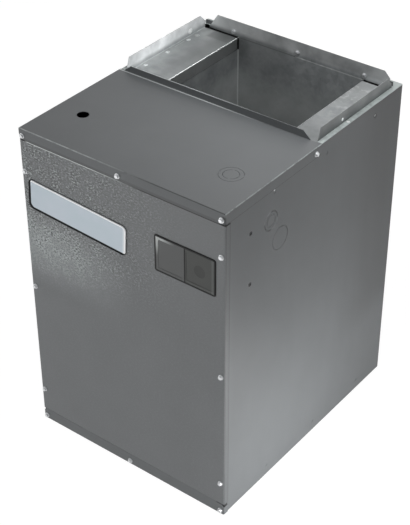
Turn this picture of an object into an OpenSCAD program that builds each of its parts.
// Modular up-flow air handler: a painted steel cabinet around a double-inlet
// forward-curved blower. Return air enters through the open base, the blower hangs
// under a deck, and the supply duct rises behind the control compartment.
// Frame: x to the right, y to the back, z up, origin at the centre of the base.

/* [Cabinet] */
// Width over the side flanges of the front and top panels
cabinet_w = 444.5; // [440:0.5:480]
// Depth from the front panel's face to the back
cabinet_d = 533.4; // [530:0.1:600]
// Height from the floor to the top panel's surface
cabinet_h = 660.4; // [655:0.1:720]
// Thickness of the sheet steel
sheet = 1.0; // [0.8:0.1:1.3]
// Gap between sheets that lap without touching
lap_gap = 0.25; // [0.15:0.05:0.4]
// Outside radius of the vertical bends
bend_r = 2.5; // [1.6:0.1:3.5]
// Width of the wrapper's returns at the front and the base
return_w = 25; // [20:1:30]
// Width of the wrapper's top returns beside the supply duct
top_return_w = 10; // [8:0.5:12]

/* [Top panel] */
// Depth of the lip over the front panel
lip_h = 22; // [18:1:26]
// Depth of the side flanges
side_flange_h = 20; // [17:1:24]
// Distance from the front face to the fold at the rear
top_panel_depth = 268.7; // [260:0.1:275]
// Height of the upturned rear flange
rear_flange_h = 14; // [10:1:18]
// Diameter of the open conduit hole
conduit_hole_d = 22.2; // [20:0.1:28]
// Distance of the conduit hole and the knock-out from the front face
top_holes_setback = 100; // [80:1:130]
// Distance of the conduit hole from the centre line
conduit_hole_x = 163; // [120:1:170]
// Outer diameter of the knock-outs
knockout_d = 43.7; // [34:0.1:48]
// Inner diameter of the knock-out in the top panel
knockout_inner_d = 28.6; // [22:0.1:32]

/* [Front] */
// Height of the bottom front rail
rail_h = 24; // [20:1:28]
// Depth of the front panel's side returns
panel_return = 12.7; // [10:0.1:20]
// Width of the badge plate
badge_w = 224; // [180:1:240]
// Height of the badge plate
badge_h = 62; // [40:1:70]
// Distance of the badge's left end from the cabinet's left side
badge_inset = 12; // [10:1:40]
// Distance from the front panel's upper edge down to the badge's centre
badge_drop = 111.3; // [98:0.1:168]
// Angle by which the badge leans to the right, in degrees
badge_tilt = 3.3; // [0:0.1:5]
// Thickness of the badge plate
badge_t = 3; // [2:0.1:5]
// Width of the breaker cover
breaker_w = 127; // [110:1:140]
// Height of the breaker cover
breaker_h = 73; // [60:1:90]
// Distance of the breaker cover from the cabinet's right side
breaker_inset = 19.5; // [17:0.5:30]
// Distance from the front panel's upper edge down to the breaker cover's centre
breaker_drop = 110.4; // [78:0.1:158]

/* [Supply duct] */
// Width of the left ledge beside the duct
ledge_left_w = 79; // [70:1:85]
// Width of the right ledge beside the duct
ledge_right_w = 61; // [50:1:70]
// Depth of the ledges below the top panel
ledge_drop = 7; // [5:0.5:10]
// Height of the side duct flanges above the top panel
side_duct_flange_h = 22; // [18:1:28]
// Height of the back duct flange above the top panel
back_duct_flange_h = 25.4; // [20:0.1:32]
// Distance of the duct's back wall from the back of the cabinet
duct_back_gap = 20.7; // [18:0.1:24]
// Height of the lips that hang from the ledges
ledge_lip = 25; // [15:1:30]
// Slot between the ledges' rear ends and the back wall
ledge_slot = 3.5; // [2:0.5:5]

/* [Blower] */
// Distance from the top panel's surface down to the deck
deck_drop = 225.4; // [210:0.1:236]
// Diameter of the blower wheel
wheel_d = 254; // [240:1:256]
// Gap between the wheel's ends and the sides of its housing
wheel_end_gap = 16; // [14:0.5:40]
// Number of blades
blades = 44; // [36:1:48]
// Depth of the blades, measured outwards from their inner edge
blade_depth = 20; // [16:1:22]
// Thickness of the blades
blade_t = 1.0; // [0.8:0.1:1.4]
// Growth of the scroll's radius in each quarter turn
scroll_step = 20; // [16:1:21]
// Gap between the wheel and the start of the scroll
cutoff_gap = 6; // [5:0.5:9]
// Height of the straight neck between the scroll and the deck
neck_h = 35; // [30:1:45]
// Distance from the duct's back wall to the scroll's back wall
scroll_back_gap = 17; // [12:1:25]
// Diameter of the throats of the inlet rings
throat_d = 208; // [190:1:212]
// Diameter of the motor
motor_d = 140; // [120:1:150]
// Length of the motor's shell
motor_len = 103; // [90:1:110]
// Length of the control module behind the motor
module_len = 25; // [18:1:30]
// Diameter of the motor's shaft
shaft_d = 12.7; // [10:0.1:16]
// Radial running clearance of the shaft in its bearings
shaft_gap = 0.05; // [0.02:0.01:0.09]

/* [Insulation and controls] */
// Thickness of the insulation
insulation_t = 12.7; // [10:0.1:14]
// Width of the control board
board_w = 130; // [100:1:140]
// Height of the control board
board_h = 95; // [80:1:110]

/* [Screws] */
// Diameter of the washer under each hex head
washer_d = 10; // [8:0.5:10.5]
// Width across the flats of the hex heads
hex_af = 6.4; // [5.5:0.1:7.5]
// Diameter of the screws' shanks
shank_d = 4.1; // [3.5:0.1:4.2]
// Distance of the side screws' centres from the cabinet's sides
screw_inset = 8; // [8:0.25:13]

/* [Hidden] */
$fn = 48;

// Small amount by which a cut passes a face
cut = 1;
// Cabinet faces
front_y = -cabinet_d / 2;
back_y = cabinet_d / 2;
panel_x = cabinet_w / 2;
side_x = panel_x - sheet - lap_gap;
wrap_front = front_y + sheet + lap_gap;
wrap_top = cabinet_h - sheet;
// Outside radius of the folds in the top panel and the duct flanges
fold_r = sheet + lap_gap;
inner_x = side_x - sheet;
// Cross pieces between the wrapper's sides, and those that reach its inner bends
span_x = inner_x - lap_gap;
bend_clear = bend_r - sheet + 0.1;
cross_x = inner_x - bend_clear;
rail_back_y = wrap_front + sheet;
// Supply duct
flange_x = side_x - top_return_w;
duct_x0 = -flange_x + ledge_left_w;
duct_x1 = flange_x - ledge_right_w;
duct_xc = (duct_x0 + duct_x1) / 2;
fold_y = front_y + top_panel_depth;
bulkhead_y = fold_y + sheet;
duct_y0 = bulkhead_y + sheet;
duct_y1 = back_y - duct_back_gap;
ledge_z = cabinet_h - ledge_drop;
ledge_end_y = duct_y1 - ledge_slot;
// Back flange's outline above the ledges, and the upstand that its screws bite in
back_flange_end = 203;
back_flange_shift = 2;
back_flange_left_slope = 19;
back_flange_chamfer = 12;
upstand_h = 8;
duct_screw_pitch = 147;
duct_screw_h = 2.2;
// Blower, hung from the deck
deck_z = cabinet_h - deck_drop;
deck_under = deck_z - sheet;
start_r = wheel_d / 2 + cutoff_gap;
scroll_back_y = duct_y1 - scroll_back_gap;
wheel_y = scroll_back_y - start_r - 3.5 * scroll_step;
housing_top = deck_under - 1;
wheel_z = housing_top - neck_h - start_r - scroll_step / 2;
wheel_x0 = duct_x0 + wheel_end_gap;
wheel_x1 = duct_x1 - wheel_end_gap;
blade_inner_r = wheel_d / 2 - blade_depth - 4;
cutoff_u = 35;
nose_r = 6;
hem = 3;
disc_t = 1.5;
ring_w = 4;
rim_w = 2;
rim_depth = 7;
hub_r = 18;
hub_flange_r = 32;
hub_len = 18;
ring_flange_r = throat_d / 2 + 22;
ring_t = 1.2;
bell_r = 14;
// Motor, set by the belly band that stands outside the left inlet
band_w = 15;
band_t = 2;
leg_t = 3;
leg_w = 14;
foot_len = 14;
leg_count = 4;
leg_r = ring_flange_r + 9;
grommet_len = 10;
band_x = duct_x0 - sheet - grommet_len - leg_t - band_w;
motor_x0 = band_x - 13;
motor_x1 = motor_x0 + motor_len;
motor_r = motor_d / 2;
shell_wall = 2.5;
bell_len = 12;
shaft_r = shaft_d / 2;
bearing_r = shaft_r + 8;
bearing_len = 9;
core_r = 0.6 * motor_r;
core_gap = 1;
seat_gap = 0.05;
core_inset = 16;
shaft_x0 = motor_x0 + 3;
shaft_x1 = duct_xc + hub_len / 2 + 4;
// Rails that carry the housing's top flanges
rail_reach = 16;
rail_gap = 1;
rail_lip_w = 11;
flange_w = 15;
rail_y0 = wheel_y - 165;
rail_y1 = scroll_back_y;
// Control compartment
heater_side = 32;
heater_x0 = duct_x0 + heater_side;
heater_x1 = duct_x1 - heater_side;
heater_h = 130;
heater_z = deck_z + 35;
cover_lap = 15;
heater_screw_gap = 7;
bracket_x0 = -inner_x + 15;
bracket_w = 165;
bracket_h = 165;
bracket_y = front_y + 147;
bracket_foot = 18;
board_x0 = bracket_x0 + 14;
board_z0 = deck_z + 56;
board_t = 1.6;
board_margin = 6;
standoff_h = 8;
standoff_r = 4;
relay_w = 18;
relay_h = 20;
relay_d = 15;
relay_pitch = 25;
plug_h = 9;
plug_d = 9;
capacitor_r = 5;
capacitor_h = 13;
strip_w = 96;
strip_h = 22;
strip_t = 4;
strip_pitch = 13;
strip_rib_t = 2;
strip_rib_d = 14;
strip_x0 = board_x0 + 20;
strip_z0 = deck_z + 14;
transformer_x = 15;
transformer_y = bracket_y;
core = [56, 42, 48];
coil_w = 34;
coil_len = 68;
coil_margin = 8;
foot_w = 90;
foot_d = 24;
foot_t = 2;
foot_screw_x = 38;
// Harness from the board to the motor's control module
harness_r = 4;
harness_bend = 9;
harness_x = motor_x0 - module_len / 2;
harness_y = bracket_y - standoff_h - board_t - 5;
harness_exit_x = harness_x + 2 * harness_bend + 0.5;
harness_run_z = wheel_z + motor_r + 30;
harness_hole_r = 9;
// Screws
washer_t = 1.2;
head_h = 3.2;
shank_len = 7;
shank_r = shank_d / 2;
hole_r = shank_r + 0.2;
screw_x = panel_x - screw_inset;
lip_screw_z = cabinet_h - 13.4;
rail_screw_z = 8;
panel_gap = 0.5;
panel_z0 = rail_h + panel_gap;
panel_z1 = cabinet_h - lip_h - panel_gap;
panel_screw_low = panel_z0 + 51;
panel_screw_high = panel_z1 - 62.4;
panel_screw_zs = [panel_screw_low, (panel_screw_low + panel_screw_high) / 2, panel_screw_high];
side_screw_y = fold_y - 16;
side_screw_z = cabinet_h - 12;
heater_screw_xs = [heater_x0 - heater_screw_gap, heater_x1 + heater_screw_gap];
heater_screw_zs = [heater_z + 12, heater_z + heater_h / 2, heater_z + heater_h - 12];
mount_screw_y = rail_y0 + 10;
// Stamped details of the wrapper's right side
side_knockout_y = front_y + 126.7;
side_knockout_z = cabinet_h - 79.8;
side_knockout_d = 36;
low_knockout_y = front_y + 154.7;
low_knockout_z = cabinet_h - 128.4;
small_hole_y = front_y + 69.7;
small_hole_zs = [cabinet_h - 176.9, cabinet_h - 74.6];
small_hole_r = 2;
dimple_ys = [front_y + 133, back_y - 246, back_y - 90];
dimple_zs = [23.5, cabinet_h - 26.6];
dimple_r = 4;
dimple_depth = 0.4;
clinch_ys = [duct_y0 + 47, duct_y0 + 112, duct_y0 + 176];
small_clinch_r = 1.6;
small_clinch_y = duct_y0 + 78;
slit = 0.6;
tie = 4;
// Heights and corners of the badge and the breaker cover
badge_z = panel_z1 - badge_drop;
breaker_z = panel_z1 - breaker_drop;
badge_corner = 10;
breaker_corner = 4;
breaker_lip = 2.8;
inner_corner = 0.8;

// Extrude a profile drawn in y and z along x, from x0 to x1
module along_x(x0, x1) {
    translate([x0, 0, 0])
        rotate([90, 0, 90])
            linear_extrude(x1 - x0)
                children();
}

// Extrude a profile drawn in x and z along y, from y0 to y1
module along_y(y0, y1) {
    translate([0, y1, 0])
        rotate([90, 0, 0])
            linear_extrude(y1 - y0)
                children();
}

// Box between two corners
module block(low, high) {
    translate(low)
        cube(high - low);
}

// Rectangle between two corners
module area(low, high) {
    translate(low)
        square(high - low);
}

// Rectangle with round corners, from squares and circles so that it stays exact
module round_area(low, high, r) {
    area([low[0] + r, low[1]], [high[0] - r, high[1]]);
    area([low[0], low[1] + r], [high[0], high[1] - r]);
    for (u = [low[0] + r, high[0] - r], v = [low[1] + r, high[1] - r])
        translate([u, v])
            circle(r);
}

// Quarter of a fold's cross-section about its centre, in the quadrant given by two signs
module fold(u, v, sign_u, sign_v) {
    translate([u, v])
        intersection() {
            difference() {
                circle(fold_r);
                circle(fold_r - sheet);
            }
            scale([sign_u, sign_v])
                square(fold_r);
        }
}

// Place something on the front face, pointing out of it
module on_front(x, z, y = front_y) {
    translate([x, y, z])
        rotate([90, 0, 0])
            children();
}

// Place something on a side face, pointing out of it
module on_side(side, y, z, x = panel_x) {
    translate([side * x, y, z])
        rotate([0, side * 90, 0])
            children();
}

// Hex washer-head sheet-metal screw, its washer seated at z = 0
module screw(shank = shank_len) {
    cylinder(r = washer_d / 2, h = washer_t);
    translate([0, 0, washer_t])
        cylinder(d = hex_af / cos(30), h = head_h, $fn = 6);
    translate([0, 0, 1.5 - shank])
        cylinder(r = shank_r, h = shank - 1.5);
    translate([0, 0, -shank])
        cylinder(r1 = 0.8, r2 = shank_r, h = 1.5);
}

// Clearance hole for a screw that is seated at z = 0
module screw_hole(depth = 5) {
    translate([0, 0, -depth])
        cylinder(r = hole_r, h = depth + cut);
}

// Slit of a knock-out, broken by two ties
module knockout_slit(d, turn) {
    linear_extrude(sheet + 2 * cut, center = true)
        difference() {
            circle(d = d);
            circle(d = d - 2 * slit);
            rotate(turn)
                square([d + cut, tie], center = true);
        }
}

// Horizontal ring of the wrapper: its plan, cut to a given width of return
module wrapper_plan() {
    difference() {
        round_area([-side_x, wrap_front], [side_x, back_y], bend_r);
        round_area([-inner_x, wrap_front + sheet], [inner_x, back_y - sheet], bend_r - sheet);
        area([-side_x + return_w, wrap_front - cut], [side_x - return_w, wrap_front + 2 * sheet]);
    }
}

module cabinet_wrapper() {
    base_hole = [side_x - return_w, back_y - return_w];
    color("dimgray")
        difference() {
            union() {
                linear_extrude(wrap_top)
                    wrapper_plan();
                // Base returns at the sides and the back
                linear_extrude(sheet)
                    difference() {
                        round_area([-side_x, wrap_front], [side_x, back_y], bend_r);
                        area([-base_hole[0], front_y], base_hole);
                    }
                // Top returns at the sides and the back
                translate([0, 0, wrap_top - sheet])
                    linear_extrude(sheet)
                        difference() {
                            round_area([-side_x, wrap_front], [side_x, back_y], bend_r);
                            area([-flange_x, front_y], [flange_x, duct_y1 + sheet]);
                        }
                // Small clinch button on the right return
                translate([flange_x + 5, small_clinch_y + 11, wrap_top - sheet / 2])
                    cylinder(r = small_clinch_r, h = sheet / 2 + 0.5);
                // Upstand behind the back duct flange
                block([-flange_x, duct_y1 + sheet, wrap_top - sheet],
                    [flange_x, duct_y1 + 2 * sheet, cabinet_h + upstand_h]);
            }
            // Screws of the lip, the front panel and the bottom rail
            for (side = [-1, 1], z = concat([rail_screw_z, lip_screw_z], panel_screw_zs))
                on_front(side * screw_x, z)
                    screw_hole();
            for (side = [-1, 1])
                on_side(side, side_screw_y, side_screw_z)
                    screw_hole();
            duct_screw_places()
                screw_hole();
            // Right side: two knock-outs and two small holes
            on_side(1, side_knockout_y, side_knockout_z, side_x - sheet / 2) {
                knockout_slit(side_knockout_d, 30);
                knockout_slit(side_knockout_d - 13, 120);
            }
            on_side(1, low_knockout_y, low_knockout_z, side_x - sheet / 2)
                knockout_slit(knockout_d, 60);
            for (z = small_hole_zs)
                on_side(1, small_hole_y, z, side_x)
                    translate([0, 0, -2 * sheet])
                        cylinder(r = small_hole_r, h = 3 * sheet);
            // Clinch dimples along the upper and lower edges
            for (side = [-1, 1], y = dimple_ys, z = dimple_zs)
                on_side(side, y, z, side_x)
                    translate([0, 0, -dimple_depth])
                        cylinder(r = dimple_r, h = cut);
        }
}

// Block whose upper edges are the top panel's folds, drawn in by a margin
module top_block(inset) {
    r = fold_r - inset;
    low_z = cabinet_h - 2 * lip_h;
    intersection() {
        along_x(-panel_x + inset, panel_x - inset)
            round_area([front_y + inset, low_z], [back_y, cabinet_h - inset], r);
        along_y(front_y, back_y)
            round_area([-panel_x + inset, low_z], [panel_x - inset, cabinet_h - inset], r);
    }
}

module top_panel() {
    hole_y = front_y + top_holes_setback;
    lip_corner = [13, 10];
    flange_y = front_y + sheet + lap_gap;
    // Ends of the rear flange, and the height where it leaves its fold
    rear_left = -flange_x - 1;
    rear_right = flange_x - 11;
    rear_z = wrap_top + fold_r;
    color("gray")
        difference() {
            union() {
                // Folded sheet, kept where the lip, the side flanges and the top lie
                intersection() {
                    difference() {
                        top_block(0);
                        top_block(sheet);
                        block([rear_left, fold_y - fold_r, 0], [rear_right, back_y, cabinet_h + cut]);
                    }
                    union() {
                        along_y(front_y, front_y + sheet)
                            polygon([
                                [-panel_x, cabinet_h],
                                [-panel_x, cabinet_h - lip_h + lip_corner[1]],
                                [-panel_x + lip_corner[0], cabinet_h - lip_h],
                                [panel_x - lip_corner[0], cabinet_h - lip_h],
                                [panel_x, cabinet_h - lip_h + lip_corner[1]],
                                [panel_x, cabinet_h]
                            ]);
                        along_x(-panel_x, panel_x)
                            polygon([
                                [front_y, cabinet_h],
                                [front_y, cabinet_h - fold_r],
                                [flange_y, cabinet_h - fold_r],
                                [flange_y, cabinet_h - side_flange_h],
                                [fold_y - 6, cabinet_h - side_flange_h],
                                [fold_y, cabinet_h - side_flange_h + 6],
                                [fold_y, cabinet_h]
                            ]);
                    }
                }
                // Rear flange, turned up, with chamfered ends
                along_x(rear_left, rear_right)
                    fold(fold_y - fold_r, rear_z, 1, -1);
                along_y(fold_y - sheet, fold_y)
                    polygon([
                        [rear_left, rear_z],
                        [rear_left + 18, cabinet_h + rear_flange_h],
                        [rear_right - 16, cabinet_h + rear_flange_h],
                        [rear_right, rear_z]
                    ]);
            }
            for (x = [-screw_x, 0, screw_x])
                on_front(x, lip_screw_z)
                    screw_hole();
            for (side = [-1, 1])
                on_side(side, side_screw_y, side_screw_z)
                    screw_hole();
            translate([-conduit_hole_x, hole_y, cabinet_h - 2 * sheet])
                cylinder(d = conduit_hole_d, h = 3 * sheet);
            translate([conduit_hole_x - 5, hole_y, cabinet_h - sheet / 2]) {
                knockout_slit(knockout_d, 20);
                knockout_slit(knockout_inner_d, 110);
            }
        }
}

module front_header_rail() {
    low_z = cabinet_h - lip_h - 14;
    color("darkgray")
        difference() {
            union() {
                block([-cross_x, rail_back_y, low_z],
                    [cross_x, rail_back_y + sheet, wrap_top - sheet - lap_gap]);
                block([-flange_x + lap_gap, rail_back_y, wrap_top - 2 * sheet],
                    [flange_x - lap_gap, rail_back_y + 20, wrap_top]);
                block([-cross_x, rail_back_y, low_z], [cross_x, rail_back_y + 12, low_z + sheet]);
            }
            // The top flange is one sheet thick
            block([-cross_x, rail_back_y + sheet, wrap_top - 3 * sheet],
                [cross_x, rail_back_y + 20 + cut, wrap_top - sheet]);
            for (x = [-screw_x, 0, screw_x])
                on_front(x, lip_screw_z)
                    screw_hole();
        }
}

// Plan of a sheet that wraps the front and reaches back along the sides
module front_plan(reach) {
    difference() {
        round_area([-panel_x, front_y], [panel_x, front_y + reach + 10], bend_r);
        round_area([-panel_x + sheet, front_y + sheet], [panel_x - sheet, front_y + reach + 12],
            bend_r - sheet);
        area([-panel_x - cut, front_y + reach], [panel_x + cut, front_y + reach + 12]);
    }
}

module bottom_front_rail() {
    chamfer = 7;
    ear = 12;
    color("dimgray")
        difference() {
            union() {
                // Front with chamfered upper corners, and ears that wrap the sides
                intersection() {
                    linear_extrude(rail_h)
                        front_plan(ear);
                    along_y(front_y, front_y + ear)
                        polygon([
                            [-panel_x, 0],
                            [-panel_x, rail_h - chamfer],
                            [-panel_x + chamfer, rail_h],
                            [panel_x - chamfer, rail_h],
                            [panel_x, rail_h - chamfer],
                            [panel_x, 0]
                        ]);
                }
                // Base return
                block([-side_x + return_w + lap_gap, front_y, 0],
                    [side_x - return_w - lap_gap, front_y + return_w, sheet]);
            }
            for (x = [-screw_x, 0, screw_x])
                on_front(x, rail_screw_z)
                    screw_hole();
        }
}

module base_cross_rail() {
    color("darkgray")
        difference() {
            along_x(-cross_x, cross_x)
                union() {
                    area([rail_back_y, sheet], [rail_back_y + sheet, rail_h - 3]);
                    area([rail_back_y, rail_h - 3 - sheet], [rail_back_y + 14, rail_h - 3]);
                }
            for (x = [-screw_x, 0, screw_x])
                on_front(x, rail_screw_z)
                    screw_hole();
        }
}

// Places of the three screws of the back duct flange, seated on its front face
module duct_screw_places() {
    for (k = [-1, 0, 1])
        translate([back_flange_shift + 2 + k * duct_screw_pitch, duct_y1, cabinet_h + duct_screw_h])
            rotate([90, 0, 0])
                children();
}

// Side duct flange: upstand, ledge, and lip along the duct; side is -1 left or 1 right
module duct_flange_side(side, ledge_w) {
    mirror([side < 0 ? 1 : 0, 0, 0])
        union() {
            along_x(flange_x - sheet, flange_x)
                polygon([
                    [duct_y0 + 2, ledge_z - sheet + fold_r],
                    [duct_y0 + 5, cabinet_h + 4],
                    [duct_y0 + 11, cabinet_h + side_duct_flange_h],
                    [ledge_end_y - 14, cabinet_h + side_duct_flange_h],
                    [ledge_end_y, cabinet_h + ledge_drop],
                    [ledge_end_y, ledge_z - sheet + fold_r]
                ]);
            // Lip, ledge and the folds at both sides of the ledge
            along_y(duct_y0, ledge_end_y)
                union() {
                    area([flange_x - ledge_w, ledge_z - ledge_lip],
                        [flange_x - ledge_w + sheet, ledge_z - fold_r]);
                    fold(flange_x - ledge_w + fold_r, ledge_z - fold_r, -1, 1);
                    area([flange_x - ledge_w + fold_r, ledge_z - sheet], [flange_x - fold_r, ledge_z]);
                    fold(flange_x - fold_r, ledge_z - sheet + fold_r, 1, -1);
                }
            // Clinch buttons along the bend
            for (y = clinch_ys)
                translate([flange_x - 9, y, ledge_z - sheet / 2])
                    cylinder(r = 3.2, h = sheet / 2 + 0.6);
        }
}

module duct_flange_left() {
    color("silver")
        duct_flange_side(-1, ledge_left_w);
}

module duct_flange_right() {
    color("silver") {
        duct_flange_side(1, ledge_right_w);
        // Small clinch button on the outside of the upstand
        on_side(1, small_clinch_y, cabinet_h + 7, flange_x - sheet / 2)
            cylinder(r = small_clinch_r, h = sheet / 2 + 0.5);
    }
}

module duct_flange_back() {
    left = back_flange_shift - back_flange_end;
    right = back_flange_shift + back_flange_end;
    top = cabinet_h + back_duct_flange_h;
    color("silver")
        difference() {
            along_y(duct_y1, duct_y1 + sheet)
                polygon([
                    [duct_x0 - 2 * sheet, deck_z],
                    [duct_x0 - 2 * sheet, ledge_z - ledge_lip],
                    [left, ledge_z - ledge_lip],
                    [left, cabinet_h - 3],
                    [left + back_flange_left_slope, top],
                    [right - back_flange_chamfer, top],
                    [right, top - back_flange_chamfer],
                    [right, ledge_z - ledge_lip],
                    [duct_x1 + 2 * sheet, ledge_z - ledge_lip],
                    [duct_x1 + 2 * sheet, deck_z]
                ]);
            duct_screw_places()
                screw_hole();
        }
}

// Side wall of the supply duct, with a foot on the deck
module plenum_wall(side, x) {
    foot = 12;
    color("silver")
        mirror([side < 0 ? 1 : 0, 0, 0])
            along_y(duct_y0, duct_y1)
                union() {
                    area([x, deck_z], [x + sheet, ledge_z - sheet - lap_gap]);
                    area([x, deck_z], [x + foot, deck_z + sheet]);
                }
}

module plenum_wall_left() {
    plenum_wall(-1, -duct_x0 + sheet);
}

module plenum_wall_right() {
    plenum_wall(1, duct_x1 + sheet);
}

module plenum_front_wall() {
    wall_x = span_x - sheet - lap_gap;
    color("silver")
        difference() {
            union() {
                block([-wall_x, bulkhead_y, deck_z], [wall_x, duct_y0, wrap_top - sheet - lap_gap]);
                // Flange under the top panel
                block([-flange_x + lap_gap, bulkhead_y - 16, wrap_top - sheet],
                    [flange_x - lap_gap, duct_y0, wrap_top]);
                block([-flange_x + lap_gap, bulkhead_y, wrap_top - 2 * sheet],
                    [flange_x - lap_gap, duct_y0, wrap_top]);
                // Foot on the deck, inside the duct
                block([duct_x0 + lap_gap, bulkhead_y, deck_z],
                    [duct_x1 - lap_gap, duct_y0 + 14, deck_z + sheet]);
            }
            along_y(bulkhead_y - cut, duct_y0 + cut)
                area([heater_x0, heater_z], [heater_x1, heater_z + heater_h]);
            heater_screw_places()
                screw_hole();
        }
}

// Places of the heater cover's screws, seated on the cover's front face
module heater_screw_places() {
    for (x = heater_screw_xs, z = heater_screw_zs)
        translate([x, bulkhead_y - sheet, z])
            rotate([90, 0, 0])
                children();
}

module heater_cover_plate() {
    low = [heater_x0 - cover_lap, heater_z - cover_lap];
    high = [heater_x1 + cover_lap, heater_z + heater_h + cover_lap];
    bead_inset = 40;
    bead_w = 5;
    bead_h = 2;
    bead_low = low + [bead_inset, bead_inset];
    bead_high = high - [bead_inset, bead_inset];
    color("lightgray")
        difference() {
            union() {
                along_y(bulkhead_y - sheet, bulkhead_y)
                    round_area(low, high, 4);
                // Stiffening bead
                along_y(bulkhead_y - sheet - bead_h, bulkhead_y - sheet)
                    difference() {
                        round_area(bead_low, bead_high, bead_w + 3);
                        round_area(bead_low + [bead_w, bead_w], bead_high - [bead_w, bead_w], bead_w);
                    }
            }
            heater_screw_places()
                screw_hole();
        }
}

module blower_deck() {
    deck_y0 = rail_back_y + sheet + lap_gap;
    deck_y1 = back_y - sheet - bend_clear;
    color("silver")
        difference() {
            union() {
                block([-span_x, deck_y0, deck_under], [span_x, deck_y1, deck_z]);
                // Flanges turned up along the sides and the front
                for (x0 = [-span_x, span_x - sheet])
                    block([x0, deck_y0, deck_under], [x0 + sheet, deck_y1, deck_z + 12]);
                block([-span_x, deck_y0, deck_under], [span_x, deck_y0 + sheet, deck_z + 12]);
            }
            block([duct_x0, wheel_y + cutoff_u, deck_under - cut], [duct_x1, scroll_back_y, deck_z + cut]);
            translate([harness_x, harness_y, deck_under - cut])
                cylinder(r = harness_hole_r, h = sheet + 2 * cut);
            mount_screw_places()
                translate([0, 0, -sheet - cut])
                    screw_hole(12);
            control_foot_screws()
                screw_hole(10);
            transformer_screws()
                screw_hole(10);
        }
}

// Places of the two screws that hold the housing to the rails, seated under the lips
module mount_screw_places() {
    for (x = [duct_x0 - sheet - 9, duct_x1 + sheet + 9])
        translate([x, mount_screw_y, housing_top - 2 * sheet])
            rotate([180, 0, 0])
                children();
}

// Rail under the deck: flange, web, and lip that carries the housing
module blower_rail(side, x) {
    web_x = x + flange_w + rail_gap;
    color("silver")
        difference() {
            mirror([side < 0 ? 1 : 0, 0, 0])
                along_y(rail_y0, rail_y1)
                    union() {
                        area([web_x, deck_under - sheet], [web_x + rail_reach, deck_under]);
                        area([web_x, housing_top - 2 * sheet], [web_x + sheet, deck_under]);
                        area([web_x - rail_lip_w, housing_top - 2 * sheet],
                            [web_x + sheet, housing_top - sheet]);
                    }
            mount_screw_places()
                screw_hole(12);
        }
}

module blower_rail_left() {
    blower_rail(-1, -duct_x0 + sheet);
}

module blower_rail_right() {
    blower_rail(1, duct_x1 + sheet);
}

// Centres and radii of the scroll's four arcs, about the wheel's axis, in y and z
function arc_c(k) = scroll_step / 2 * [k == 0 || k == 1 ? -1 : 1, k == 0 || k == 3 ? 1 : -1];
function arc_r(k) = start_r + k * scroll_step;
// Quadrant of each arc: the signs of y and z
function arc_q(k) = [k == 0 || k == 3 ? 1 : -1, k <= 1 ? 1 : -1];

// Quarter of the plane about an arc's centre, as large as the scroll
module quarter(k) {
    reach = wheel_d;
    q = arc_q(k);
    translate(arc_c(k))
        scale([q[0], q[1]])
            square(reach);
}

// Disc of one arc, grown by a margin, kept to its quadrant
module arc_disc(k, grow) {
    intersection() {
        translate(arc_c(k))
            circle(arc_r(k) + grow);
        quarter(k);
    }
}

// Scroll outline about the wheel's axis, grown by a margin
module scroll_outline(grow) {
    top = housing_top - wheel_z;
    inner = scroll_step / 2;
    for (k = [1:3])
        arc_disc(k, grow);
    area([-inner, -inner], [inner, inner]);
    intersection() {
        arc_disc(0, grow);
        area([-inner, 0], [cutoff_u, wheel_d]);
    }
    area([cutoff_u - grow, 0], [scroll_back_y - wheel_y + grow, top]);
    area([0, 0], [cutoff_u, start_r * 0.9]);
}

// One side of the blower housing, with its inlet and its top flange
module housing_side(side, x) {
    color("gainsboro")
        difference() {
            mirror([side < 0 ? 1 : 0, 0, 0])
                union() {
                    along_x(x, x + sheet)
                        translate([wheel_y, wheel_z])
                            difference() {
                                scroll_outline(hem);
                                circle(d = throat_d + 18);
                            }
                    block([x, rail_y0, housing_top - sheet], [x + flange_w, rail_y1, housing_top]);
                    // Web that joins the front of the flange to the scroll
                    along_x(x, x + sheet)
                        polygon([
                            [rail_y0, housing_top],
                            [rail_y0, housing_top - 30],
                            [wheel_y - 60, wheel_z + start_r * 0.7],
                            [wheel_y, wheel_z + start_r * 0.95],
                            [wheel_y + cutoff_u, wheel_z + start_r * 0.95],
                            [wheel_y + cutoff_u, housing_top]
                        ]);
                }
            mount_screw_places()
                screw_hole(12);
            if (side < 0)
                leg_places()
                    translate([0, 0, -sheet - cut])
                        cylinder(r = hole_r, h = sheet + 3 * cut);
        }
}

module housing_side_left() {
    housing_side(-1, -duct_x0);
}

module housing_side_right() {
    housing_side(1, duct_x1);
}

module scroll_wrap() {
    color("gainsboro")
        along_x(duct_x0, duct_x1)
            translate([wheel_y, wheel_z]) {
                for (k = [1:3])
                    difference() {
                        arc_disc(k, sheet);
                        translate(arc_c(k))
                            circle(arc_r(k));
                    }
                // Start of the scroll under the cutoff's nose
                intersection() {
                    difference() {
                        translate(arc_c(0))
                            circle(arc_r(0) + sheet);
                        translate(arc_c(0))
                            circle(arc_r(0));
                    }
                    area([-scroll_step / 2, 0], [cutoff_u - nose_r, wheel_d]);
                }
                area([scroll_back_y - wheel_y, scroll_step / 2],
                    [scroll_back_y - wheel_y + sheet, housing_top - wheel_z]);
            }
}

module cutoff_plate() {
    nose_u = cutoff_u - nose_r;
    lean = nose_u + scroll_step / 2;
    nose_v = scroll_step / 2 + sqrt(pow(start_r + sheet + nose_r + 0.1, 2) - lean * lean);
    color("gainsboro")
        along_x(duct_x0, duct_x1)
            translate([wheel_y, wheel_z]) {
                area([cutoff_u - sheet, nose_v], [cutoff_u, housing_top - wheel_z]);
                difference() {
                    translate([nose_u, nose_v])
                        circle(nose_r);
                    translate([nose_u, nose_v])
                        circle(nose_r - sheet);
                    area([nose_u - 2 * nose_r, nose_v], [nose_u + 2 * nose_r, nose_v + 2 * nose_r]);
                }
            }
}

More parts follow.
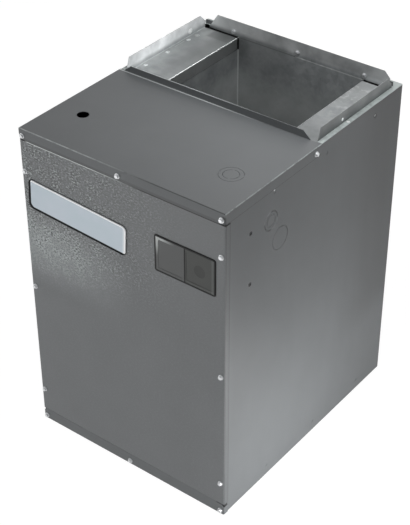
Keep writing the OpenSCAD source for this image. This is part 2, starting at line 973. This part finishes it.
// Bell-mouth inlet ring, flared outwards from the throat, its flange on the side plate
module inlet_ring() {
    throat = throat_d / 2;
    depth = 9;
    rotate_extrude()
        union() {
            // Straight throat that reaches into the housing
            translate([throat, -depth])
                square([ring_t, depth + ring_t]);
            // Rolled mouth
            intersection() {
                translate([throat + bell_r / 2, ring_t])
                    difference() {
                        circle(bell_r / 2);
                        circle(bell_r / 2 - ring_t);
                    }
                translate([throat, ring_t])
                    square([bell_r, bell_r]);
            }
            translate([throat + bell_r - ring_t, 0])
                square([ring_t, 2 * ring_t]);
            translate([throat + bell_r - ring_t, 0])
                square([ring_flange_r - throat - bell_r + ring_t, ring_t]);
        }
}

module inlet_ring_left() {
    color("lightgray")
        translate([duct_x0 - sheet, wheel_y, wheel_z])
            rotate([0, -90, 0])
                inlet_ring();
}

module inlet_ring_right() {
    color("lightgray")
        translate([duct_x1 + sheet, wheel_y, wheel_z])
            rotate([0, 90, 0])
                inlet_ring();
}

// Turn a profile drawn as radius and x about the motor's axis
module turned() {
    translate([0, wheel_y, wheel_z])
        rotate([0, 90, 0])
            rotate_extrude($fn = 96)
                children();
}

module motor_shell() {
    color("darkslategray")
        difference() {
            turned()
                difference() {
                    area([0, motor_x0], [motor_r, motor_x1]);
                    area([0, motor_x0 + bearing_len + 2], [motor_r - shell_wall, motor_x1 + cut]);
                    area([0, motor_x0 + 2], [bearing_r, motor_x0 + bearing_len + 3]);
                }
            // Cooling slots in the front half of the shell
            translate([0, wheel_y, wheel_z])
                for (a = [0:30:330])
                    rotate([a + 15, 0, 0])
                        block([motor_x1 - 34, -3, motor_r - 2 * shell_wall],
                            [motor_x1 - 12, 3, motor_r + cut]);
        }
}

module motor_end_bell() {
    dish_r = motor_r - 12;
    color("slategray")
        difference() {
            turned()
                difference() {
                    union() {
                        area([0, motor_x1], [motor_r, motor_x1 + 4]);
                        area([0, motor_x1], [dish_r, motor_x1 + bell_len - 4]);
                        area([0, motor_x1], [bearing_r + 5, motor_x1 + bell_len]);
                    }
                    area([0, motor_x1 - cut], [bearing_r, motor_x1 + bearing_len]);
                    area([0, motor_x1 - cut], [shaft_r + 1.5, motor_x1 + bell_len + cut]);
                    area([bearing_r + 3, motor_x1 - cut], [dish_r - 3, motor_x1 + bell_len - 7]);
                }
            translate([0, wheel_y, wheel_z])
                for (a = [0:45:315])
                    rotate([a, 0, 0])
                        block([motor_x1 - cut, -5, bearing_r + 12],
                            [motor_x1 + bell_len + cut, 5, dish_r - 6]);
        }
}

module motor_stator() {
    color("peru")
        turned()
            area([core_r, motor_x0 + core_inset],
                [motor_r - shell_wall - seat_gap, motor_x1 - core_inset]);
}

module motor_bearings() {
    color("silver")
        turned()
            for (x = [motor_x0 + 2, motor_x1])
                area([shaft_r + shaft_gap, x], [bearing_r, x + bearing_len]);
}

module motor_control_module() {
    color("black")
        difference() {
            turned()
                union() {
                    area([0, motor_x0 - module_len], [motor_r - 8, motor_x0]);
                    area([0, motor_x0 - 4], [motor_r, motor_x0]);
                }
            // Socket for the harness at the top
            translate([harness_x, wheel_y, wheel_z + motor_r - 8 - 6])
                block([-6, -11, 0], [6, 3, 10]);
        }
}

module motor_band() {
    ear = 9;
    color("silver")
        difference() {
            union() {
                turned()
                    area([motor_r + seat_gap, band_x], [motor_r + band_t, band_x + band_w]);
                // Clamp ears under the motor
                translate([0, wheel_y, wheel_z])
                    block([band_x, -4, -motor_r - band_t - ear], [band_x + band_w, 4, -motor_r - 0.5]);
            }
            translate([0, wheel_y, wheel_z])
                block([band_x - cut, -1, -motor_r - band_t - ear - cut],
                    [band_x + band_w + cut, 1, -motor_r + cut]);
        }
}

// Places of the four feet on the left side plate, seated on its outer face
module leg_places() {
    translate([duct_x0 - sheet, wheel_y, wheel_z])
        for (k = [0:leg_count - 1])
            rotate([45 + k * 360 / leg_count, 0, 0])
                translate([0, 0, leg_r])
                    rotate([0, -90, 0])
                        children();
}

module motor_legs() {
    foot_x = duct_x0 - sheet - grommet_len;
    color("silver")
        difference() {
            translate([0, wheel_y, wheel_z])
                for (k = [0:leg_count - 1])
                    rotate([45 + k * 360 / leg_count, 0, 0])
                        union() {
                            block([foot_x - leg_t, -leg_w / 2, motor_r + band_t],
                                [foot_x, leg_w / 2, leg_r + foot_len / 2]);
                            block([band_x, -leg_w / 2, motor_r + band_t],
                                [foot_x, leg_w / 2, motor_r + band_t + leg_t]);
                        }
            // Round the strap's seat to the band
            turned()
                area([0, band_x - cut], [motor_r + band_t, foot_x + cut]);
            leg_places()
                translate([0, 0, grommet_len - cut])
                    cylinder(r = hole_r, h = leg_t + 2 * cut);
        }
}

module motor_grommets() {
    color("black")
        leg_places()
            difference() {
                cylinder(r = 7, h = grommet_len);
                translate([0, 0, grommet_len / 2])
                    rotate_extrude()
                        translate([8, 0])
                            circle(r = 2);
                translate([0, 0, -cut])
                    cylinder(r = hole_r, h = grommet_len + 2 * cut);
            }
}

// Insulation blanket on a side wall, in the blower compartment
module insulation_side(side) {
    color("dimgray")
        mirror([side < 0 ? 1 : 0, 0, 0])
            block([inner_x - insulation_t, rail_back_y + 26, sheet],
                [inner_x, back_y - sheet - bend_clear, deck_under]);
}

module insulation_left() {
    insulation_side(-1);
}

module insulation_right() {
    insulation_side(1);
}

module insulation_back() {
    color("dimgray")
        block([-inner_x + insulation_t, back_y - sheet - insulation_t, sheet],
            [inner_x - insulation_t, back_y - sheet, deck_under]);
}

// Feet of the control bracket: screws down into the deck
module control_foot_screws() {
    for (x = [bracket_x0 + 15, bracket_x0 + bracket_w - 15])
        translate([x, bracket_y + bracket_foot / 2 + 1, deck_z + sheet])
            children();
}

// Corners of the control board, seated on its front face
module board_corners() {
    for (u = [board_margin, board_w - board_margin], v = [board_margin, board_h - board_margin])
        translate([board_x0 + u, bracket_y - standoff_h - board_t, board_z0 + v])
            rotate([90, 0, 0])
                children();
}

module control_bracket() {
    color("lightgray")
        difference() {
            union() {
                block([bracket_x0, bracket_y, deck_z],
                    [bracket_x0 + bracket_w, bracket_y + sheet, deck_z + bracket_h]);
                block([bracket_x0, bracket_y, deck_z],
                    [bracket_x0 + bracket_w, bracket_y + bracket_foot, deck_z + sheet]);
                // Stiffening flange along the top
                block([bracket_x0, bracket_y, deck_z + bracket_h - sheet],
                    [bracket_x0 + bracket_w, bracket_y + 10, deck_z + bracket_h]);
            }
            control_foot_screws()
                screw_hole();
            board_corners()
                screw_hole(standoff_h + board_t + 3);
            strip_screws()
                screw_hole(20);
        }
}

// Box on the board's face, from the board's lower left corner
module on_board(u, v, w, h, d) {
    face = bracket_y - standoff_h - board_t;
    block([board_x0 + u, face - d, board_z0 + v], [board_x0 + u + w, face, board_z0 + v + h]);
}

module control_board() {
    face = bracket_y - standoff_h - board_t;
    relay_u = (board_w - 3 * relay_pitch - relay_w) / 2;
    relay_v = board_h - 2 * board_margin - relay_h - 2;
    plug_v = board_margin / 2;
    chip = relay_w;
    color("darkgreen")
        difference() {
            union() {
                block([board_x0, face, board_z0], [board_x0 + board_w, face + board_t, board_z0 + board_h]);
                // Relays, two plugs, a chip and three capacitors
                for (k = [0:3])
                    on_board(relay_u + k * relay_pitch, relay_v, relay_w, relay_h, relay_d);
                on_board(0.11 * board_w, plug_v, 0.37 * board_w, plug_h, plug_d);
                on_board(0.54 * board_w, plug_v, 0.32 * board_w, plug_h, plug_d);
                on_board(0.4 * board_w, 0.3 * board_h, chip, chip, chip / 6);
                for (u = [0.17, 0.28, 0.71])
                    translate([board_x0 + u * board_w, face, board_z0 + 0.38 * board_h])
                        rotate([90, 0, 0])
                            cylinder(r = capacitor_r, h = capacitor_h);
            }
            board_corners()
                screw_hole();
        }
}

module board_standoffs() {
    color("white")
        board_corners()
            translate([0, 0, -board_t - standoff_h])
                difference() {
                    cylinder(r = standoff_r, h = standoff_h);
                    translate([0, 0, -cut])
                        cylinder(r = hole_r, h = standoff_h + 2 * cut);
                }
}

// Screws of the terminal strip, seated on its ends
module strip_screws() {
    for (x = [strip_x0 + 0.07 * strip_w, strip_x0 + 0.93 * strip_w])
        translate([x, bracket_y - strip_t, strip_z0 + strip_h / 2])
            rotate([90, 0, 0])
                children();
}

module terminal_strip() {
    strip_z1 = strip_z0 + strip_h;
    rib_x0 = strip_x0 + (strip_w - 5 * strip_pitch - strip_rib_t) / 2;
    color("black")
        difference() {
            union() {
                block([strip_x0, bracket_y - strip_t, strip_z0], [strip_x0 + strip_w, bracket_y, strip_z1]);
                for (k = [0:5])
                    block([rib_x0 + k * strip_pitch, bracket_y - strip_rib_d, strip_z0],
                        [rib_x0 + k * strip_pitch + strip_rib_t, bracket_y, strip_z1]);
            }
            strip_screws()
                screw_hole(6);
        }
}

// Screws of the transformer's feet
module transformer_screws() {
    for (side = [-1, 1])
        translate([transformer_x + side * foot_screw_x, transformer_y, deck_z + foot_t])
            children();
}

module transformer() {
    middle = [transformer_x, transformer_y];
    coil_z0 = deck_z + coil_margin;
    coil_z1 = deck_z + core[2] - coil_margin;
    color("black")
        difference() {
            union() {
                translate([0, 0, deck_z])
                    linear_extrude(foot_t)
                        area(middle - [foot_w, foot_d] / 2, middle + [foot_w, foot_d] / 2);
                translate([transformer_x - core[0] / 2, transformer_y - core[1] / 2, deck_z])
                    cube(core);
                // Winding that stands out of the core at the front and the back
                along_y(transformer_y - coil_len / 2, transformer_y + coil_len / 2)
                    round_area([transformer_x - coil_w / 2, coil_z0], [transformer_x + coil_w / 2, coil_z1],
                        0.75 * coil_margin);
            }
            transformer_screws()
                screw_hole();
        }
}

// Straight stretch of the harness between two points on one axis
module harness_run(low, high) {
    delta = high - low;
    translate(low)
        rotate([delta[1] > 0 ? -90 : 0, delta[0] > 0 ? 90 : 0, 0])
            cylinder(r = harness_r, h = norm(delta));
}

// Quarter bend of the harness
module harness_elbow() {
    rotate_extrude(angle = 90)
        translate([harness_bend, 0])
            circle(harness_r);
}

// Bundle of wires from the board, through the deck, back and down to the motor
module motor_harness() {
    connector_z = board_z0 + 3;
    jog_z = connector_z - harness_bend - 6;
    plug_z = wheel_z + motor_r - 14;
    color("darkorange") {
        harness_run([harness_exit_x, harness_y, jog_z + harness_bend],
            [harness_exit_x, harness_y, connector_z]);
        // Jog to the left in front of the bracket
        translate([harness_exit_x - harness_bend, harness_y, jog_z + harness_bend])
            rotate([90, 90, 0])
                harness_elbow();
        harness_run([harness_x + harness_bend, harness_y, jog_z],
            [harness_exit_x - harness_bend, harness_y, jog_z]);
        translate([harness_x + harness_bend, harness_y, jog_z - harness_bend])
            rotate([90, -90, 0])
                harness_elbow();
        // Down through the deck, then back over the motor
        harness_run([harness_x, harness_y, harness_run_z + harness_bend],
            [harness_x, harness_y, jog_z - harness_bend]);
        translate([harness_x, harness_y + harness_bend, harness_run_z + harness_bend])
            rotate([90, 180, 90])
                harness_elbow();
        harness_run([harness_x, harness_y + harness_bend, harness_run_z],
            [harness_x, wheel_y - harness_bend - 4, harness_run_z]);
        translate([harness_x, wheel_y - harness_bend - 4, harness_run_z - harness_bend])
            rotate([90, 0, 90])
                harness_elbow();
        harness_run([harness_x, wheel_y - 4, plug_z + 8],
            [harness_x, wheel_y - 4, harness_run_z - harness_bend]);
        // Plug in the module's socket
        translate([harness_x, wheel_y - 4, plug_z])
            block([-5, -6, 0.2], [5, 6, 12]);
    }
}

module harness_grommet() {
    color("black")
        translate([harness_x, harness_y, deck_z - sheet / 2])
            difference() {
                cylinder(r = harness_hole_r + 3, h = 2 * sheet + 3, center = true);
                rotate_extrude()
                    translate([harness_hole_r, -sheet / 2])
                        square([5, sheet]);
                cylinder(r = harness_r + 0.2, h = 20, center = true);
            }
}

module top_panel_screws() {
    color("white") {
        for (x = [-screw_x, 0, screw_x])
            on_front(x, lip_screw_z)
                screw();
        for (side = [-1, 1])
            on_side(side, side_screw_y, side_screw_z)
                screw();
    }
}

module bottom_rail_screws() {
    color("white")
        for (x = [-screw_x, 0, screw_x])
            on_front(x, rail_screw_z)
                screw();
}

module duct_flange_screws() {
    color("white")
        duct_screw_places()
            screw();
}

module heater_cover_screws() {
    color("white")
        heater_screw_places()
            screw();
}

// Two screws of the housing and four of the motor's legs
module blower_screws() {
    color("white") {
        mount_screw_places()
            screw(9);
        leg_places()
            translate([0, 0, grommet_len + leg_t])
                screw(grommet_len + leg_t + sheet + 3);
    }
}

module control_screws() {
    color("white") {
        control_foot_screws()
            screw();
        transformer_screws()
            screw();
        board_corners()
            screw(standoff_h + board_t + 3);
        strip_screws()
            screw(8);
    }
}

module front_panel() {
    color("gray")
        difference() {
            translate([0, 0, panel_z0])
                linear_extrude(panel_z1 - panel_z0)
                    front_plan(panel_return);
            for (side = [-1, 1], z = panel_screw_zs)
                on_front(side * screw_x, z)
                    screw_hole();
            along_y(front_y - cut, front_y + 2 * sheet)
                breaker_outline(5);
        }
}

module front_panel_screws() {
    color("white")
        for (side = [-1, 1], z = panel_screw_zs)
            on_front(side * screw_x, z)
                screw();
}

module panel_insulation() {
    margin = side_x - return_w - 4;
    color("dimgray")
        block([-margin, front_y + sheet, rail_h + 6],
            [margin, front_y + sheet + insulation_t, deck_under - 10]);
}

// Outline of the badge, drawn in by a margin and moved up and to the right
module badge_outline(inset, shift = 0) {
    half = [badge_w / 2 - inset, badge_h / 2 - inset];
    translate([-panel_x + badge_inset + badge_w / 2, badge_z])
        rotate(-badge_tilt)
            translate([shift, shift])
                round_area(-half, half, max(badge_corner - inset, inner_corner));
}

module badge_gasket() {
    color("black")
        along_y(front_y - 1, front_y)
            badge_outline(0);
}

module badge_plate() {
    color("silver")
        along_y(front_y - badge_t, front_y - 1)
            badge_outline(1.3, 1.2);
}

// Outline of the breaker cover, drawn in by a margin
module breaker_outline(inset) {
    right = panel_x - breaker_inset;
    round_area([right - breaker_w + inset, breaker_z - breaker_h / 2 + inset],
        [right - inset, breaker_z + breaker_h / 2 - inset], max(breaker_corner - inset, inner_corner));
}

module breaker_bezel() {
    wall = 2.4;
    mid_x = panel_x - breaker_inset - breaker_w / 2;
    color("black")
        difference() {
            union() {
                along_y(front_y - 1.5, front_y)
                    breaker_outline(0);
                along_y(front_y - 1.5, front_y + sheet)
                    breaker_outline(5.2);
            }
            along_y(front_y - 3, front_y + 10)
                difference() {
                    breaker_outline(5.2 + wall);
                    area([mid_x - 1.2, 0], [mid_x + 1.2, cabinet_h]);
                }
            // Seats for the blanks
            along_y(front_y - 3, front_y - 0.5)
                difference() {
                    breaker_outline(breaker_lip);
                    area([mid_x - 1, 0], [mid_x + 1, cabinet_h]);
                }
        }
}

// Blank that fills one half of the breaker cover
module breaker_blank(side) {
    mid_x = panel_x - breaker_inset - breaker_w / 2;
    gap = 0.15;
    low = [side < 0 ? 0 : mid_x + 1 + gap, 0];
    high = [side < 0 ? mid_x - 1 - gap : panel_x, cabinet_h];
    face = front_y - 1.2;
    dish = 0.5;
    hollow_x = mid_x + breaker_w / 4;
    hollow_r = 12;
    hollow_depth = 0.4;
    ball_r = (hollow_r * hollow_r + hollow_depth * hollow_depth) / (2 * hollow_depth);
    low_back = [side < 0 ? 0 : mid_x + 1.2 + gap, 0];
    high_back = [side < 0 ? mid_x - 1.2 - gap : panel_x, cabinet_h];
    color("dimgray")
        difference() {
            union() {
                along_y(face, front_y - 0.5)
                    intersection() {
                        breaker_outline(breaker_lip + gap);
                        area(low, high);
                    }
                // Skirt inside the bezel
                along_y(front_y - 0.5, front_y + 5)
                    intersection() {
                        breaker_outline(7.6 + gap);
                        area(low_back, high_back);
                    }
            }
            // Face dished inside a rim, with a shallow thumb hollow at the right
            along_y(face - cut, face + dish)
                intersection() {
                    breaker_outline(breaker_lip + 5);
                    area(low + [2, 0], high - [3.5, 0]);
                }
            if (side > 0)
                translate([hollow_x, face + dish + hollow_depth - ball_r, breaker_z])
                    rotate([90, 0, 0])
                        sphere(ball_r);
            // Hollow behind the face
            along_y(front_y + 0.8, front_y + 6)
                intersection() {
                    breaker_outline(9.6);
                    area(low_back + [2, 0], high_back - [2, 0]);
                }
        }
}

module breaker_blank_left() {
    breaker_blank(-1);
}

module breaker_blank_right() {
    breaker_blank(1);
}

// Profile of one forward-curved blade, its inner edge radial, its tip leaning forward
module blade() {
    translate([blade_inner_r, blade_depth])
        intersection() {
            difference() {
                circle(blade_depth);
                circle(blade_depth - blade_t);
            }
            translate([0, -blade_depth])
                square(blade_depth);
        }
}

// Blades between x0 and x1, held by an end ring and by a rim where they meet the disc
module blade_cage(x0, x1, ring_x, rim_x) {
    outer = wheel_d / 2;
    color("silver") {
        translate([0, wheel_y, wheel_z])
            along_x(x0, x1)
                for (k = [0:blades - 1])
                    rotate(k * 360 / blades)
                        blade();
        turned()
            union() {
                area([blade_inner_r - 1, ring_x], [outer, ring_x + ring_w]);
                area([outer - rim_depth, rim_x], [outer, rim_x + rim_w]);
            }
    }
}

module blade_cage_left() {
    disc_face = duct_xc - disc_t / 2;
    blade_cage(wheel_x0 + 1, disc_face, wheel_x0, disc_face - rim_w);
}

module blade_cage_right() {
    disc_face = duct_xc + disc_t / 2;
    blade_cage(disc_face, wheel_x1 - 1, wheel_x1 - ring_w, disc_face);
}

module wheel_disc() {
    color("silver")
        turned()
            area([hub_r + seat_gap, duct_xc - disc_t / 2], [wheel_d / 2, duct_xc + disc_t / 2]);
}

module wheel_hub() {
    color("slategray")
        difference() {
            turned()
                difference() {
                    union() {
                        area([0, duct_xc - hub_len / 2], [hub_r, duct_xc + hub_len / 2]);
                        area([0, duct_xc + disc_t / 2], [hub_flange_r, duct_xc + disc_t / 2 + 2]);
                    }
                    area([0, duct_xc - hub_len], [shaft_r + seat_gap, duct_xc + hub_len]);
                }
            translate([duct_xc - hub_len / 2 + 4, wheel_y, wheel_z])
                cylinder(r = 2.55, h = hub_r + cut);
        }
}

module hub_set_screw() {
    color("black")
        translate([duct_xc - hub_len / 2 + 4, wheel_y, wheel_z + shaft_r - 1])
            difference() {
                cylinder(r = 2.5, h = hub_r - shaft_r);
                translate([0, 0, hub_r - shaft_r - 2])
                    cylinder(r = 1.3, h = 3, $fn = 6);
            }
}

module motor_shaft() {
    color("silver")
        difference() {
            turned()
                area([0, shaft_x0], [shaft_r, shaft_x1]);
            // Flat under the hub's set screw
            translate([duct_xc - hub_len / 2 - 2, wheel_y, wheel_z])
                block([0, -shaft_r - cut, shaft_r - 1], [hub_len + 20, shaft_r + cut, shaft_r + cut]);
        }
}

module motor_rotor() {
    color("dimgray")
        turned()
            area([shaft_r + seat_gap, motor_x0 + core_inset], [core_r - core_gap, motor_x1 - core_inset]);
}

cabinet_wrapper();
top_panel();
front_header_rail();
bottom_front_rail();
base_cross_rail();
duct_flange_left();
duct_flange_right();
duct_flange_back();
plenum_wall_left();
plenum_wall_right();
plenum_front_wall();
heater_cover_plate();
blower_deck();
blower_rail_left();
blower_rail_right();
housing_side_left();
housing_side_right();
scroll_wrap();
cutoff_plate();
inlet_ring_left();
inlet_ring_right();
motor_shell();
motor_end_bell();
motor_stator();
motor_bearings();
motor_control_module();
motor_band();
motor_legs();
motor_grommets();
insulation_left();
insulation_right();
insulation_back();
control_bracket();
control_board();
board_standoffs();
transformer();
terminal_strip();
motor_harness();
harness_grommet();
top_panel_screws();
bottom_rail_screws();
duct_flange_screws();
heater_cover_screws();
blower_screws();
control_screws();
front_panel();
front_panel_screws();
panel_insulation();
badge_gasket();
badge_plate();
breaker_bezel();
breaker_blank_left();
breaker_blank_right();
blade_cage_left();
blade_cage_right();
wheel_disc();
wheel_hub();
hub_set_screw();
motor_shaft();
motor_rotor();
